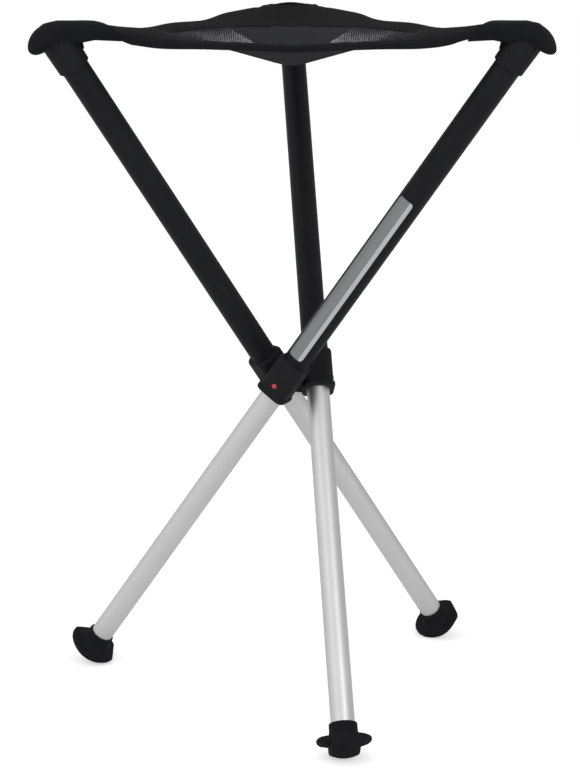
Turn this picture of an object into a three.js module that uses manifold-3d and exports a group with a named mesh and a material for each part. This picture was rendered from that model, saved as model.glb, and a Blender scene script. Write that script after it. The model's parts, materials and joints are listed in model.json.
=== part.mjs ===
// Collapsible telescopic stool: three crossed legs on one hub carry a triangular cloth seat.
// Millimetres, +Z up. Each leg is an outer tube that turns on the hub and an inner tube that
// slides in it. A sprung pin locks the inner tube when it is out, and a button frees it.
import * as THREE from 'three';
import * as BufferGeometryUtils from 'three/addons/utils/BufferGeometryUtils.js';
import Module from 'manifold-3d';

const wasm = await Module();
wasm.setup();

// Legs: lengths are measured along a leg from its pivot on the hub.
const legCount = 3;
const legTilt = THREE.MathUtils.degToRad(35.9);
const headReach = 400;
const footReach = 340;
const tubeOverlap = 45;
const outerTubeDiameter = 25;
const tubeWall = 1.2;

// Sides of the round pieces, and how close two corners are one.
const tubeSides = 32;
const footSides = 28;
const stubSides = 24;
const smallSides = 16;
const pinSides = 12;
const mergeDistance = 1e-4;

// Clearances: slideGap is the running gap of tubes, pins and buttons, seatGap the gap of fixed pieces.
const slideGap = 0.3;
const seatGap = 0.3;
const overrun = 2;

// Sleeve: the moulding at the lower mouth of the outer tube, with its stub on the hub side.
const sleeveWidth = 29.5;
const sleeveCorner = 8;
const sleeveAbove = 27;
const sleeveBelow = 13;
const sleeveBevel = 1.4;
const sleeveLip = 2.4;
const stubRadius = 4.5;
const stubFlangeRadius = 6;
const stubFlangeThickness = 1.5;
const stubLength = 4.8;

// Hub: two shells clamped by a screw hold the three stubs.
const hubInradius = 9.65;
const hubHalfHeight = 11;
const hubCorner = 4;
const hubScrewRadius = 1.5;
const hubScrewHeadRadius = 3;
const hubScrewHeadHeight = 2;
const hubNutWidth = 5.5;
const hubNutHeight = 2.4;

// Lock: a sprung pin in the inner tube, and the button over it in the sleeve.
const lockDrop = 0.5;
const lockPinRadius = 3;
const buttonRadius = 2.5;
const buttonFlangeRadius = 3.1;
const buttonFlangeThickness = 0.6;
const buttonProud = 1.2;
const buttonEndShares = [[0, 0], [0.7, 0.15], [1, 0.6]];
const springWidth = 8;
const springThickness = 0.6;
const springArm = 6;
const springBendRise = 32;

// Plug in the upper end of the inner tube.
const plugCapHeight = 2;
const plugSkirtLength = 14;
const plugSkirtWall = 2;

// Foot: rubber, with a flange and a keel-shaped sole that rocks on a flat.
const neckWall = 2;
const neckLength = 8;
const footSocketDepth = 14;
const flangeRadius = 25;
const flangeRim = 3.4;
const flangeEdge = 1.1;
const footHollowShares = [[0.07, 0.45], [0.25, 0.81]];
const soleRadius = 30;
const soleApex = 31;
const soleHalfWidth = 13;
const soleEdge = 2;
const soleFlatDepth = 0.5;
const soleSteps = 5;
const flangeTrimCorner = 6;

// Seat head: the moulding on the upper end of the outer tube, inside the seat's corner.
const collarWall = 1.9;
const collarLength = 27;
const headPlugLength = 24;
const headPlugWall = 2.4;
const headHalfWidth = 17.5;
const crownRise = 20;
const lipReach = 27;
const innerReach = 31;
const flareReach = 19.5;
const flareDrop = 15;
const crownWaistShare = 0.5;
const lipCurveShare = 0.75;
const headPinRadius = 1.5;
const headPinDrop = 14;

// Seat cloth: a net in a hem, gathered into a pocket over each head.
const pocketCloth = 1.6;
const hemCloth = 1.6;
const netThickness = 0.8;
const cornerInset = 0.4;
const cornerHalfWidth = 25;
const edgeMidRadius = 104;
const hemWidth = 32;
const panelCornerRadius = 138;
const edgeSteps = 12;
const hemRows = 3;
const netRows = 4;
const hemDrop = 5;
const nearEdgeSag = 22;
const farEdgeSag = 4;
const centreSag = 48;
const bowlPower = 1.3;

// Sizes that follow from the ones above.
const outerRadius = outerTubeDiameter / 2;
const boreRadius = outerRadius - tubeWall;
const innerRadius = boreRadius - slideGap;
const innerBoreRadius = innerRadius - tubeWall;
const sleeveHalf = sleeveWidth / 2;
const legOffset = hubInradius + seatGap + sleeveHalf;
const headRadius = headReach * Math.sin(legTilt);
const legTurn = Math.atan2(legOffset, headRadius);
const soleCentre = footReach + soleApex - soleRadius;
const pivotHeight = soleCentre * Math.cos(legTilt) + soleRadius - soleFlatDepth;
const collarRadius = outerRadius + seatGap + collarWall;
const quarter = Math.PI / 2;

// Materials, one call for each sub-part so that no two parts share one.
function finish(color, roughness, metalness) {
  return new THREE.MeshStandardMaterial({ color, roughness, metalness });
}
const blackAnodised = () => finish(0x1c1d1f, 0.45, 0.7);
const satinAluminium = () => finish(0xc9cacc, 0.35, 0.9);
const blackPlastic = () => finish(0x262728, 0.6, 0);
const redPlastic = () => finish(0xb4323c, 0.45, 0);
const blackRubber = () => finish(0x1f2022, 0.85, 0);
const blackCloth = () => finish(0x1b1c1e, 0.9, 0);
const blackNet = () => finish(0x2a2b2d, 0.9, 0);
const zincSteel = () => finish(0xa9adb0, 0.4, 0.9);

// Geometry with merged corners whose faces point outwards.
function closed(geometry) {
  const bare = geometry.clone();
  bare.deleteAttribute('normal');
  bare.deleteAttribute('uv');
  const merged = BufferGeometryUtils.mergeVertices(bare, mergeDistance);
  const index = merged.index.array;
  const corners = merged.attributes.position;
  const [a, b, c] = [new THREE.Vector3(), new THREE.Vector3(), new THREE.Vector3()];
  let volume = 0;
  const faces = [];
  for (let i = 0; i < index.length; i += 3) {
    const [p, q, r] = [index[i], index[i + 1], index[i + 2]];
    if (p === q || q === r || r === p) continue;
    faces.push(p, q, r);
    a.fromBufferAttribute(corners, p);
    b.fromBufferAttribute(corners, q);
    c.fromBufferAttribute(corners, r);
    volume += a.dot(b.cross(c));
  }
  merged.setIndex(volume < 0 ? faces.reverse() : faces);
  return merged;
}

function toSolid(geometry) {
  const merged = closed(geometry);
  const vertProperties = new Float32Array(merged.attributes.position.array);
  const triVerts = new Uint32Array(merged.index.array);
  return new wasm.Manifold(new wasm.Mesh({ numProp: 3, vertProperties, triVerts }));
}

function toGeometry(solid) {
  const mesh = solid.getMesh();
  const geometry = new THREE.BufferGeometry();
  geometry.setAttribute('position', new THREE.BufferAttribute(mesh.vertProperties, 3));
  geometry.setIndex(new THREE.BufferAttribute(mesh.triVerts, 1));
  return geometry;
}

const cut = (geometry, ...tools) =>
  toGeometry(tools.reduce((solid, tool) => solid.subtract(toSolid(tool)), toSolid(geometry)));
const join = (geometry, ...others) =>
  toGeometry(others.reduce((solid, other) => solid.add(toSolid(other)), toSolid(geometry)));
const common = (geometry, ...others) =>
  toGeometry(others.reduce((solid, other) => solid.intersect(toSolid(other)), toSolid(geometry)));

// Solid of revolution about Z from [radius, height] points.
function revolved(points, sides = tubeSides) {
  const profile = points.map(([r, z]) => new THREE.Vector2(r, z));
  return closed(new THREE.LatheGeometry(profile, sides).rotateX(quarter));
}

function rod(radius, from, to, sides = tubeSides) {
  return revolved([[0, from], [radius, from], [radius, to], [0, to]], sides);
}

function pipe(outer, inner, from, to, sides = tubeSides) {
  return revolved([[inner, from], [outer, from], [outer, to], [inner, to], [inner, from]], sides);
}

// A rod along Y between two places on that axis, at a height on the leg.
function crossRod(radius, from, to, height, sides) {
  return rod(radius, from, to, sides).rotateX(-quarter).translate(0, 0, height);
}

// Plate whose outline lies in X and Z, centred on Y.
function sidePlate(shape, width, options = {}) {
  const bevel = options.bevelSize ?? 0;
  const depth = width - 2 * bevel;
  const bevelEnabled = bevel > 0;
  const settings = { depth, bevelEnabled, bevelThickness: bevel, curveSegments: 8, ...options };
  return closed(new THREE.ExtrudeGeometry(shape, settings).rotateX(quarter).translate(0, depth / 2, 0));
}

// Plate whose outline lies in X and Y, between two heights.
function flatPlate(shape, from, to, options = {}) {
  const bevel = options.bevelSize ?? 0;
  const depth = to - from - 2 * bevel;
  const bevelEnabled = bevel > 0;
  const settings = { depth, bevelEnabled, bevelThickness: bevel, curveSegments: 6, ...options };
  return closed(new THREE.ExtrudeGeometry(shape, settings).translate(0, 0, from + bevel));
}

// Polygon with each corner rounded by an arc-like curve of the same reach.
function roundedPolygon(corners, reach) {
  const shape = new THREE.Shape();
  corners.forEach((corner, i) => {
    const before = corners.at(i - 1);
    const after = corners[(i + 1) % corners.length];
    const entry = corner.clone().add(before.clone().sub(corner).setLength(reach));
    const exit = corner.clone().add(after.clone().sub(corner).setLength(reach));
    if (i === 0) shape.moveTo(entry.x, entry.y);
    else shape.lineTo(entry.x, entry.y);
    shape.quadraticCurveTo(corner.x, corner.y, exit.x, exit.y);
  });
  shape.closePath();
  return shape;
}

const rectangle = (x0, y0, x1, y1) =>
  [[x0, y0], [x1, y0], [x1, y1], [x0, y1]].map(([x, y]) => new THREE.Vector2(x, y));

const polar = (radius, angle) => new THREE.Vector2(radius * Math.cos(angle), radius * Math.sin(angle));

// The leg's own frame: Z along the leg to its head, X outwards in its plane, Y towards the hub.

// The hole for the roll pin runs through the head, the tube and the head's plug.
function headPinHole() {
  const reach = headHalfWidth + overrun;
  return crossRod(headPinRadius + slideGap, -reach, reach, headReach - headPinDrop, pinSides);
}

function upperTube() {
  const mouth = -sleeveBelow + sleeveLip + seatGap;
  const lockHoleRadius = lockPinRadius + slideGap + slideGap / 2;
  const lockHole = crossRod(lockHoleRadius, -outerRadius - overrun, 0, -lockDrop, smallSides);
  return cut(pipe(outerRadius, boreRadius, mouth, headReach), lockHole, headPinHole());
}

function lowerTube() {
  const lockHole = crossRod(lockPinRadius + slideGap, -innerRadius - overrun, 0, -lockDrop, smallSides);
  return cut(pipe(innerRadius, innerBoreRadius, -footReach - footSocketDepth, tubeOverlap), lockHole);
}

// The inner tube's plug keeps it centred in the outer tube.
function topPlug() {
  const skirt = innerBoreRadius - seatGap;
  const cap = tubeOverlap + seatGap;
  return revolved([
    [0, cap], [skirt - plugSkirtWall, cap], [skirt - plugSkirtWall, tubeOverlap - plugSkirtLength],
    [skirt, tubeOverlap - plugSkirtLength], [skirt, cap], [innerRadius, cap],
    [innerRadius, cap + plugCapHeight / 2], [innerRadius - plugCapHeight / 2, cap + plugCapHeight],
    [0, cap + plugCapHeight],
  ]);
}

function sleeve() {
  const outline = roundedPolygon(rectangle(-sleeveHalf, -sleeveHalf, sleeveHalf, sleeveHalf), sleeveCorner);
  const bevels = { bevelSize: sleeveBevel, bevelSegments: 2, bevelOffset: -sleeveBevel };
  const body = flatPlate(outline, -sleeveBelow, sleeveAbove, bevels);
  const flangeFrom = sleeveHalf + stubLength - stubFlangeThickness;
  const stub = crossRod(stubRadius, outerRadius + seatGap * 2, sleeveHalf + stubLength, 0, stubSides);
  const stubFlange = crossRod(stubFlangeRadius, flangeFrom, sleeveHalf + stubLength, 0, stubSides);
  const tubeSeat = rod(outerRadius + seatGap, -sleeveBelow + sleeveLip, sleeveAbove + overrun);
  const mouth = rod(innerRadius + slideGap, -sleeveBelow - overrun, sleeveAbove);
  const buttonHole = crossRod(buttonRadius + slideGap, -sleeveHalf - overrun, 0, -lockDrop, smallSides);
  const flangeSeat = -(outerRadius + seatGap + buttonFlangeThickness + slideGap);
  const buttonStep = crossRod(buttonFlangeRadius + slideGap, flangeSeat, 0, -lockDrop, smallSides);
  return cut(join(body, stub, stubFlange), tubeSeat, mouth, buttonHole, buttonStep);
}

// The button pushes the pin back through the outer tube's hole.
function lockButton() {
  const inner = -(outerRadius + slideGap);
  const flange = crossRod(buttonFlangeRadius, inner - buttonFlangeThickness, inner, -lockDrop, smallSides);
  const outer = -(sleeveHalf + buttonProud);
  const end = buttonEndShares.map(([r, y]) => [buttonRadius * r, outer + buttonProud * y]);
  const body = revolved([...end, [buttonRadius, inner], [0, inner]], smallSides);
  return join(flange, body.rotateX(-quarter).translate(0, 0, -lockDrop));
}

// Bent spring strip inside the inner tube, with the pin riveted to one arm.
function lockSpring() {
  const reach = Math.sqrt(innerBoreRadius ** 2 - (springWidth / 2) ** 2) - seatGap;
  const low = -lockDrop - springArm;
  const high = -lockDrop + springArm;
  const bend = low + springBendRise;
  const t = springThickness;
  const arm = [[-reach, low], [-reach, high], [-t, bend], [t, bend], [reach, high], [reach, low]];
  const inner = reach - t;
  const back = [[inner, low], [inner, high], [0, bend - 2 * t], [-inner, high], [-inner, low]];
  const strip = new THREE.Shape([...arm, ...back].map(([y, z]) => new THREE.Vector2(y, z)));
  const sheet = sidePlate(strip, springWidth).rotateZ(quarter);
  const tip = outerRadius - tubeWall / 4;
  const pin = crossRod(lockPinRadius, -tip, -reach + t / 2, -lockDrop, smallSides);
  return join(sheet, pin);
}

function foot() {
  const mouth = -footReach;
  const neck = innerRadius + neckWall;
  const rimDrop = Math.sqrt(soleRadius ** 2 - flangeRadius ** 2);
  const rim = -soleCentre - rimDrop;
  const span = Math.asin(flangeRadius / soleRadius);
  const dome = Array.from({ length: soleSteps }, (_, i) => {
    const angle = span * (1 - (i + 1) / soleSteps);
    return [soleRadius * Math.sin(angle), -soleCentre - soleRadius * Math.cos(angle)];
  });
  const shoulder = mouth - neckLength;
  const hollow = footHollowShares.map(([out, down]) => [
    neck + (flangeRadius - neck) * out,
    shoulder - (shoulder - rim - flangeRim) * down,
  ]);
  const shell = revolved([
    [0, mouth], [neck - neckWall / 2, mouth], [neck, mouth - neckWall / 2], [neck, shoulder],
    ...hollow, [flangeRadius, rim + flangeRim], [flangeRadius, rim + flangeEdge],
    [flangeRadius - flangeEdge, rim], ...dome,
  ], footSides);
  const deep = soleCentre + soleRadius + overrun;
  const disc = rod(flangeRadius + overrun, rim, mouth + overrun, footSides);
  const keelOutline = rectangle(-flangeRadius, -deep, flangeRadius, rim + flangeRim / 2);
  const keelEdge = { bevelSize: soleEdge, bevelSegments: 2 };
  const keel = sidePlate(roundedPolygon(keelOutline, soleEdge), 2 * soleHalfWidth, keelEdge);
  const wide = common(shell, join(disc, keel));
  const half = legOffset * Math.cos(Math.PI / 3) * Math.tan(Math.PI / 3) - slideGap;
  const apex = half / Math.cos(Math.PI / 6);
  const far = flangeRadius + overrun;
  const side = far / Math.tan(Math.PI / 3);
  const trim = roundedPolygon([
    new THREE.Vector2(0, apex), new THREE.Vector2(-far, apex - side),
    new THREE.Vector2(-far, -far), new THREE.Vector2(far, -far), new THREE.Vector2(far, apex - side),
  ], flangeTrimCorner);
  const trimmed = common(wide, flatPlate(trim, -deep, mouth + overrun));
  const socket = rod(innerRadius + seatGap, mouth - footSocketDepth - seatGap, mouth + overrun);
  const under = new THREE.BoxGeometry(4 * flangeRadius, 4 * flangeRadius, 2 * flangeRadius)
    .translate(-soleCentre * Math.sin(legTilt), 0, -flangeRadius - pivotHeight)
    .rotateY(-legTilt);
  return cut(trimmed, socket, under);
}

// Side outline of the head, as shares of its reach outwards or inwards and of its rise.
const crownShares = [
  [-1, 0.02], [-0.85, 0.22], [-0.6, 0.44], [-0.3, 0.67], [0, 0.86], [0.37, 0.99], [0.6, 1],
  [0.8, 0.95], [0.94, 0.82], [1, 0.66], [0.94, 0.54],
];

function crown(shrink) {
  const place = ([x, z]) => new THREE.Vector2(
    x * ((x < 0 ? innerReach : lipReach) - shrink), headReach + z * (crownRise - shrink));
  const side = new THREE.Shape();
  const start = place(crownShares[0]);
  side.moveTo(-flareReach + shrink, headReach - flareDrop + shrink);
  side.lineTo(start.x, start.y);
  side.splineThru(crownShares.slice(1).map(place));
  side.lineTo(collarRadius + pocketCloth - shrink, headReach + seatGap + shrink / 2);
  side.lineTo(collarRadius + pocketCloth - shrink, headReach - flareDrop + shrink);
  side.closePath();
  const half = headHalfWidth - shrink;
  const reach = lipReach - shrink;
  const waist = outerRadius * crownWaistShare;
  const [curveX, curveY] = [reach * lipCurveShare, half * lipCurveShare];
  const plan = new THREE.Shape();
  plan.moveTo(-innerReach - overrun, -half);
  plan.lineTo(waist, -half);
  plan.bezierCurveTo(curveX, -half, reach, -curveY, reach, 0);
  plan.bezierCurveTo(reach, curveY, curveX, half, waist, half);
  plan.lineTo(-innerReach - overrun, half);
  plan.closePath();
  const spring = headReach - flareDrop / 2;
  const arch = new THREE.Shape();
  arch.moveTo(-half, headReach - flareDrop);
  arch.lineTo(-half, spring);
  arch.absellipse(0, spring, half, crownRise + flareDrop / 2 - shrink, Math.PI, 0, true);
  arch.lineTo(half, headReach - flareDrop);
  arch.closePath();
  const length = 2 * (innerReach + lipReach);
  return common(
    sidePlate(side, 2 * half + overrun, { curveSegments: 1 }),
    flatPlate(plan, headReach - collarLength, headReach + crownRise + overrun),
    sidePlate(arch, length, { curveSegments: 9 }).rotateZ(quarter),
  );
}

function seatHead() {
  const bottom = headReach - collarLength;
  const collar = rod(collarRadius, bottom, headReach + seatGap);
  const solid = join(crown(pocketCloth + seatGap), collar);
  const tubeSlot = pipe(outerRadius + seatGap, boreRadius - seatGap, bottom - overrun, headReach + seatGap);
  const below = rod(boreRadius, bottom - overrun, headReach - headPlugLength);
  const hollow = rod(boreRadius - seatGap - headPlugWall, bottom - overrun, headReach - seatGap);
  return cut(solid, tubeSlot, below, hollow, headPinHole());
}

function headPin() {
  return crossRod(headPinRadius, -collarRadius, collarRadius, headReach - headPinDrop, pinSides);
}

// The cloth pocket covers the crown and is open below, where the collar comes out.
function cornerPocket() {
  const inside = crown(pocketCloth);
  const low = headReach - collarLength - overrun;
  const way = rod(collarRadius + seatGap, low, headReach);
  const half = headHalfWidth + overrun;
  const below = new THREE.Shape(rectangle(-innerReach - overrun, -half, lipReach + overrun, half));
  return cut(crown(0), inside, way, flatPlate(below, low, headReach - flareDrop + 2 * pocketCloth));
}

// Hub shells: a triangle whose sides face the sleeves, halved at the stubs' axes.
function hubShell(side) {
  const corners = [1, 3, 5].map((k) => polar(2 * hubInradius, (k * Math.PI) / 3));
  const outline = roundedPolygon(corners, hubCorner);
  const range = side > 0 ? [0, hubHalfHeight] : [-hubHalfHeight, 0];
  const body = flatPlate(outline, ...range);
  const tools = [];
  const end = hubInradius + seatGap - stubLength - slideGap;
  const grooveEnd = end + stubFlangeThickness + 2 * slideGap;
  for (let n = 0; n < legCount; n += 1) {
    const turn = (n * 2 * Math.PI) / legCount - quarter;
    const way = crossRod(stubRadius + slideGap, end, hubInradius + overrun, 0, stubSides);
    const groove = crossRod(stubFlangeRadius + slideGap, end, grooveEnd, 0, stubSides);
    tools.push(way.rotateZ(turn), groove.rotateZ(turn));
  }
  const through = hubHalfHeight + overrun;
  tools.push(rod(hubScrewRadius + slideGap, -through, through, smallSides));
  const headSeat = -hubHalfHeight + hubScrewHeadHeight + seatGap;
  const nutSeat = hubHalfHeight - hubNutHeight - seatGap;
  tools.push(side < 0
    ? rod(hubScrewHeadRadius + slideGap, -through, headSeat, smallSides)
    : nutPrism(hubNutWidth / 2 + slideGap, nutSeat, through));
  return cut(body, ...tools);
}

function nutPrism(inradius, from, to) {
  const radius = inradius / Math.cos(Math.PI / 6);
  const corners = Array.from({ length: 6 }, (_, i) => polar(radius, (i * Math.PI) / 3));
  return flatPlate(new THREE.Shape(corners), from, to);
}

function hubScrew() {
  const head = -hubHalfHeight + hubScrewHeadHeight;
  return revolved([
    [0, -hubHalfHeight], [hubScrewHeadRadius - hubScrewHeadHeight / 4, -hubHalfHeight],
    [hubScrewHeadRadius, -hubHalfHeight + hubScrewHeadHeight / 4], [hubScrewHeadRadius, head],
    [hubScrewRadius, head], [hubScrewRadius, hubHalfHeight], [0, hubHalfHeight],
  ], smallSides);
}

function hubNut() {
  const nut = nutPrism(hubNutWidth / 2, hubHalfHeight - hubNutHeight, hubHalfHeight);
  const low = hubHalfHeight - hubNutHeight - overrun;
  return cut(nut, rod(hubScrewRadius + seatGap, low, hubHalfHeight + overrun, smallSides));
}

// Seat plan: three slightly hollow edges between the corners, seen from above.
const pocketEdge = headReach * Math.sin(legTilt) - innerReach * Math.cos(legTilt);
const cornerRadius = pocketEdge - cornerInset;
const seatTop = pivotHeight + headReach * Math.cos(legTilt) + innerReach * Math.sin(legTilt);

// One edge in its own frame: its distance from the stool's axis at a place along it, and its half length.
const cornerStraight = cornerRadius * Math.cos(Math.PI / 3) + cornerHalfWidth * Math.sin(Math.PI / 3);
const edgeHalfLength = cornerRadius * Math.sin(Math.PI / 3) - cornerHalfWidth * Math.cos(Math.PI / 3);
const edgeHollow = cornerStraight - edgeMidRadius;
const edgeReach = (along) => cornerStraight - edgeHollow * (1 - (along / edgeHalfLength) ** 2);

// Where an edge that is set in by some inset meets the straight cut across a corner.
function edgeLimit(inset, cornerReach) {
  let limit = edgeHalfLength;
  for (let i = 0; i < edgeSteps; i += 1) {
    limit = (cornerReach - (edgeReach(limit) - inset) * Math.cos(Math.PI / 3)) / Math.sin(Math.PI / 3);
  }
  return limit;
}

function seatOutline(inset, cornerReach) {
  const limit = edgeLimit(inset, cornerReach);
  const points = [];
  for (let n = 0; n < legCount; n += 1) {
    const middle = quarter + ((2 * n + 1) * Math.PI) / legCount;
    for (let i = 0; i <= edgeSteps; i += 1) {
      const along = limit * ((2 * i) / edgeSteps - 1);
      const point = new THREE.Vector2(edgeReach(along) - inset, along);
      points.push(point.rotateAround(new THREE.Vector2(), middle));
    }
  }
  return points;
}

// Height of the cloth's middle layer above the floor: a shallow bowl hung from the corners.
function clothHeight(x, y) {
  const radius = Math.hypot(x, y);
  const angle = Math.atan2(y, x);
  const wave = (1 + Math.cos(legCount * (angle - quarter))) / 2;
  const near = Math.max(0, -Math.sin(angle)) ** 2;
  const edgeSag = (farEdgeSag + (nearEdgeSag - farEdgeSag) * near) * (1 - wave);
  const reach = edgeMidRadius + (cornerRadius - edgeMidRadius) * wave ** 3;
  const share = Math.min(1, radius / reach);
  const rim = seatTop - hemDrop - edgeSag;
  const centre = seatTop - centreSag;
  return centre + (rim - centre) * share ** bowlPower;
}

function draped(geometry) {
  const places = geometry.attributes.position;
  for (let i = 0; i < places.count; i += 1) {
    places.setZ(i, places.getZ(i) + clothHeight(places.getX(i), places.getY(i)));
  }
  return geometry;
}

// Closed band through rows of points, each row a loop, the last row joined to the first.
function band(rows) {
  const count = rows[0].length;
  const corner = (row, i) => (row % rows.length) * count + (i % count);
  const index = [];
  for (let row = 0; row < rows.length; row += 1) {
    for (let i = 0; i < count; i += 1) {
      index.push(corner(row, i), corner(row, i + 1), corner(row + 1, i + 1));
      index.push(corner(row, i), corner(row + 1, i + 1), corner(row + 1, i));
    }
  }
  const geometry = new THREE.BufferGeometry().setFromPoints(rows.flat());
  geometry.setIndex(index);
  return geometry;
}

function seatBorder() {
  const outer = seatOutline(0, cornerRadius);
  const inner = seatOutline(hemWidth - seatGap, panelCornerRadius + seatGap);
  const row = (k, z) => outer.map((point, i) => {
    const between = point.clone().lerp(inner[i], k / hemRows);
    return new THREE.Vector3(between.x, between.y, z);
  });
  const steps = Array.from({ length: hemRows + 1 }, (_, k) => k);
  const top = steps.map((k) => row(k, hemCloth / 2));
  const bottom = steps.reverse().map((k) => row(k, -hemCloth / 2));
  return closed(draped(band([...top, ...bottom])));
}

// The net is a closed panel here, in rings from its middle to its edge.
function seatNet() {
  const edge = seatOutline(hemWidth, panelCornerRadius);
  const ring = (k, z) => edge.map((point) => {
    const place = point.clone().multiplyScalar(k / netRows);
    return new THREE.Vector3(place.x, place.y, z);
  });
  const steps = Array.from({ length: netRows + 1 }, (_, k) => k);
  const top = steps.map((k) => ring(k, netThickness / 2));
  const bottom = steps.reverse().map((k) => ring(k, -netThickness / 2));
  return closed(draped(band([...top, ...bottom])));
}

// Assembly: a leg is turned about the stool's axis, set off to one side and tilted outwards.
const stool = new THREE.Group();

function place(parent, name, geometry, material) {
  const mesh = new THREE.Mesh(geometry, material);
  mesh.name = name;
  parent.add(mesh);
}

for (let n = 1; n <= legCount; n += 1) {
  const corner = new THREE.Group();
  const seatAzimuth = quarter + (n * 2 * Math.PI) / legCount;
  corner.rotation.z = seatAzimuth + legTurn;
  const leg = new THREE.Group();
  leg.position.set(0, -legOffset, pivotHeight);
  leg.rotation.y = legTilt;
  corner.add(leg);
  stool.add(corner);
  place(leg, `upper_tube_${n}`, upperTube(), blackAnodised());
  place(leg, `sleeve_${n}`, sleeve(), blackPlastic());
  place(leg, `lock_button_${n}`, lockButton(), redPlastic());
  place(leg, `seat_head_${n}`, seatHead(), blackPlastic());
  place(leg, `head_pin_${n}`, headPin(), zincSteel());
  place(leg, `corner_pocket_${n}`, cornerPocket(), blackCloth());
  place(leg, `lower_tube_${n}`, lowerTube(), satinAluminium());
  place(leg, `top_plug_${n}`, topPlug(), blackPlastic());
  place(leg, `lock_spring_${n}`, lockSpring(), zincSteel());
  place(leg, `foot_${n}`, foot(), blackRubber());
}

const hub = new THREE.Group();
hub.position.z = pivotHeight;
hub.rotation.z = legTurn;
stool.add(hub);
place(hub, 'hub_upper', hubShell(1), blackPlastic());
place(hub, 'hub_lower', hubShell(-1), blackPlastic());
place(hub, 'hub_screw', hubScrew(), zincSteel());
place(hub, 'hub_nut', hubNut(), zincSteel());
place(stool, 'seat_border', seatBorder(), blackCloth());
place(stool, 'seat_net', seatNet(), blackNet());

// The origin is the middle of the bounding box's floor side.
stool.updateMatrixWorld(true);
const middle = new THREE.Box3().setFromObject(stool, true).getCenter(new THREE.Vector3());
stool.position.set(-middle.x, -middle.y, 0);

export default stool;
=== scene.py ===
import json
import math
import bmesh
import bpy
import numpy as np
from mathutils import Matrix, Vector


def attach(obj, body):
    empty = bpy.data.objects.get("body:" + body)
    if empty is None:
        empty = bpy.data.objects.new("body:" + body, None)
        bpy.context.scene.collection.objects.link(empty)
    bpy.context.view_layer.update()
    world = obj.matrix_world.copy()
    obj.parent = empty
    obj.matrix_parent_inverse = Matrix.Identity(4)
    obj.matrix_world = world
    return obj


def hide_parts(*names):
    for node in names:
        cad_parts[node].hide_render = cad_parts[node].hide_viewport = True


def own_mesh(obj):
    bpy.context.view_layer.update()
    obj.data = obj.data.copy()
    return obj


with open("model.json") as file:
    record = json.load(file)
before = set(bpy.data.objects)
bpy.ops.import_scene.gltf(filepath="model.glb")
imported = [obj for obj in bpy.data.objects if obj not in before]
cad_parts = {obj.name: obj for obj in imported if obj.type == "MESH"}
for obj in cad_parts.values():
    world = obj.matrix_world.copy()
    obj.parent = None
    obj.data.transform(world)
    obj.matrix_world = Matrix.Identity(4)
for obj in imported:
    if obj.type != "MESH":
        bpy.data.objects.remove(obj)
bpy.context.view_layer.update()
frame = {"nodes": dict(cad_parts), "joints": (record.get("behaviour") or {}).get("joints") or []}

# Camera: eye level just above the seat, two metres in front, looking slightly down.
eye = Vector((-0.0057, -1.958, 0.701))
look_down = math.radians(11.76)
look_right = math.radians(0.10)
focal_length = 95.85

lens = bpy.data.cameras.new("camera")
lens.lens = focal_length
camera = bpy.data.objects.new("camera", lens)
camera.location = eye
camera.rotation_euler = (math.pi / 2 - look_down, 0, -look_right)
bpy.context.collection.objects.link(camera)
bpy.context.scene.camera = camera
bpy.context.scene.view_settings.view_transform = "Standard"


# Studio floor: matt white board, wide enough for every side view. The feet keep their soft
# shadows on it, and the camera sees it lifted to the white of the backdrop.
floor_half = 6.0
floor_lift = 0.50


def linear(hex_colour):
    parts = [int(hex_colour[i:i + 2], 16) / 255 for i in (1, 3, 5)]
    return [c / 12.92 if c <= 0.04045 else ((c + 0.055) / 1.055) ** 2.4 for c in parts] + [1]


def add(tree, kind, inputs=None, **settings):
    node = tree.nodes.new(kind)
    for name, value in settings.items():
        setattr(node, name, value)
    for socket, value in (inputs or {}).items():
        if isinstance(value, bpy.types.NodeSocket):
            tree.links.new(value, node.inputs[socket])
        else:
            node.inputs[socket].default_value = value
    return node


def new_material(name, plain=None):
    """A material, its tree and its shader, which holds the plain values."""
    material = bpy.data.materials.new(name)
    material.use_nodes = True
    shader = material.node_tree.nodes["Principled BSDF"]
    for socket, value in (plain or {}).items():
        shader.inputs[socket].default_value = value
    return material, material.node_tree, shader


bpy.ops.object.select_all(action="DESELECT")
bpy.ops.mesh.primitive_plane_add(size=2 * floor_half)
floor = bpy.context.object
floor.name = "floor"
floor_paint, tree, shader = new_material("matt_white_board", {
    "Base Color": linear("#f2f2f2"), "Roughness": 0.9, "Specular IOR Level": 0.1,
    "Emission Color": (1, 1, 1, 1)})
rays = add(tree, "ShaderNodeLightPath")
lift = add(tree, "ShaderNodeMath", {0: rays.outputs["Is Camera Ray"], 1: floor_lift},
           operation="MULTIPLY")
tree.links.new(lift.outputs[0], shader.inputs["Emission Strength"])
floor.data.materials.append(floor_paint)

# Light: a white room that is darker on the right and at the back. A large soft lamp in
# front on the right makes round tubes brightest a little right of their middle, and a weak
# one on the left opens the shadows.
room_left = 0.76
room_right = 0.52
room_sides = (-0.7, 0.9)
room_front = 1.18
room_back = 0.82
room_depth = (-0.5, 0.6)
key_power = 15
fill_power = 2.25
lamp_size = 1.2
lamp_aim = Vector((0, 0, 0.35))

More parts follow.
